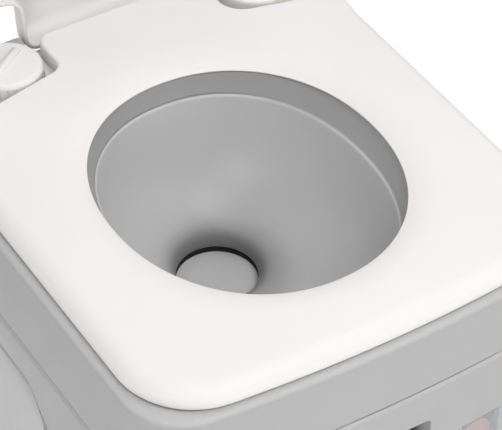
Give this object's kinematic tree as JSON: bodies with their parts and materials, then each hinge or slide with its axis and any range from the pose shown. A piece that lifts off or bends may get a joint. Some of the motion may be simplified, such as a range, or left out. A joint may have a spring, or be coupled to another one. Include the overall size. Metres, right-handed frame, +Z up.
{
  "type": "cassette toilet",
  "caption": "Portable cassette toilet: hinged seat and lid over a grey bowl, flush tank latched on a waste tank with slide valve, flush pump, filler, swing-out spout and carry handle.",
  "frame": {"origin": "centre of the body's footprint on the floor", "axes": "+Z up, front faces -Y, +X is to the right seen from the front"},
  "size_m": [0.363, 0.4847, 0.7383],
  "materials": {
    "shell_grey": "moulded satin",
    "bowl_grey": "smooth satin gloss",
    "seat_white": "fine satin gloss",
    "lid_white": "satin gloss",
    "cap_cream": "satin",
    "latch_grey": "moulded satin",
    "mechanism_grey": "moulded matte",
    "blade_grey": "smooth satin",
    "handle_dark": "fine grain",
    "seal_rubber": "soft matte",
    "foot_rubber": "matte",
    "bellows_rubber": "matte",
    "bumper_grey": "soft",
    "tube_clear": "milky tube",
    "steel": "brushed",
    "spring_steel": "drawn wire",
    "window_clear": "clear window",
    "float_orange": "smooth"
  },
  "bodies": {
    "body": {"waste_tank": "shell_grey", "latch_catches": "shell_grey", "feet": "foot_rubber", "flush_tank": "shell_grey", "deck_cover": "shell_grey", "hinge_bracket": "mechanism_grey", "hinge_screws": "steel", "hinge_pin": "steel", "bowl": "bowl_grey", "bowl_gasket": "seal_rubber", "valve_base": "mechanism_grey", "valve_cover": "mechanism_grey", "valve_screws": "steel", "valve_seal": "seal_rubber", "filler_neck": "seat_white", "pump_housing": "seat_white", "pump_bellows": "bellows_rubber", "pump_spring": "spring_steel", "pump_valves": "seal_rubber", "suction_tube": "tube_clear", "flush_hose": "tube_clear", "flush_nozzle": "mechanism_grey", "latch_pins": "steel", "spout_collar": "mechanism_grey", "spout_seal": "seal_rubber", "vent_body": "mechanism_grey", "vent_spring": "spring_steel", "level_window": "window_clear", "level_pivot": "steel", "handle_pins": "steel"},
    "seat": {"seat": "seat_white", "seat_bumpers": "bumper_grey"},
    "lid": {"lid": "lid_white", "lid_bumpers": "bumper_grey"},
    "valve_slide": {"valve_blade": "blade_grey", "valve_rod": "blade_grey", "valve_handle": "handle_dark"},
    "pump_button": {"pump_button": "cap_cream"},
    "filler_cap": {"filler_cap": "seat_white", "filler_gasket": "seal_rubber"},
    "latch_left": {"latch_left": "latch_grey"},
    "latch_right": {"latch_right": "latch_grey"},
    "spout": {"spout_elbow": "handle_dark"},
    "spout_cap": {"spout_cap": "handle_dark", "spout_gasket": "seal_rubber"},
    "vent_button": {"vent_button": "handle_dark", "vent_seal": "seal_rubber"},
    "level_float": {"level_float": "float_orange"},
    "carry_handle": {"carry_handle": "handle_dark"}
  },
  "joints": [
    {"name": "seat_hinge", "type": "hinge", "parent": "body", "child": "seat", "pos_m": [0, 0.172, 0.38], "axis": [-1, 0, 0], "range_deg": [0, 90]},
    {"name": "lid_hinge", "type": "hinge", "parent": "body", "child": "lid", "pos_m": [0, 0.172, 0.38], "axis": [-1, 0, 0], "range_deg": [-100, 4]},
    {"name": "valve_slide", "type": "slide", "parent": "body", "child": "valve_slide", "axis": [0, -1, 0], "range_m": [0, 0.08]},
    {"name": "pump_press", "type": "slide", "parent": "body", "child": "pump_button", "axis": [0, 0, -1], "range_m": [0, 0.018], "stiffness_N_per_m": 900, "springref_m": -0.004, "deforming": ["pump_bellows", "pump_spring"]},
    {"name": "filler_cap_turn", "type": "hinge", "parent": "body", "child": "filler_cap", "pos_m": [-0.086, 0.1585, 0.39], "axis": [0, 0, 1], "continuous": true},
    {"name": "latch_left_pivot", "type": "hinge", "parent": "body", "child": "latch_left", "pos_m": [-0.171, -0.01, 0.284], "axis": [0, 1, 0], "range_deg": [0, 32]},
    {"name": "latch_right_pivot", "type": "hinge", "parent": "body", "child": "latch_right", "pos_m": [0.171, -0.01, 0.284], "axis": [0, -1, 0], "range_deg": [0, 32]},
    {"name": "spout_swing", "type": "hinge", "parent": "body", "child": "spout", "pos_m": [0.025, 0.177, 0.18], "axis": [0, 0, -1], "range_deg": [0, 90]},
    {"name": "spout_cap_turn", "type": "hinge", "parent": "spout", "child": "spout_cap", "pos_m": [-0.09, 0.177, 0.205], "axis": [1, 0, 0], "continuous": true},
    {"name": "vent_press", "type": "slide", "parent": "body", "child": "vent_button", "axis": [0, 0, -1], "range_m": [0, 0.004], "stiffness_N_per_m": 400, "springref_m": -0.002, "deforming": ["vent_spring"]},
    {"name": "level_swing", "type": "hinge", "parent": "body", "child": "level_float", "pos_m": [0.074, -0.193, 0.262], "axis": [0, -1, 0], "range_deg": [0, 40]},
    {"name": "handle_fold", "type": "hinge", "parent": "body", "child": "carry_handle", "pos_m": [0, -0.192, 0.142], "axis": [-1, 0, 0], "range_deg": [0, 90]}
  ]
}
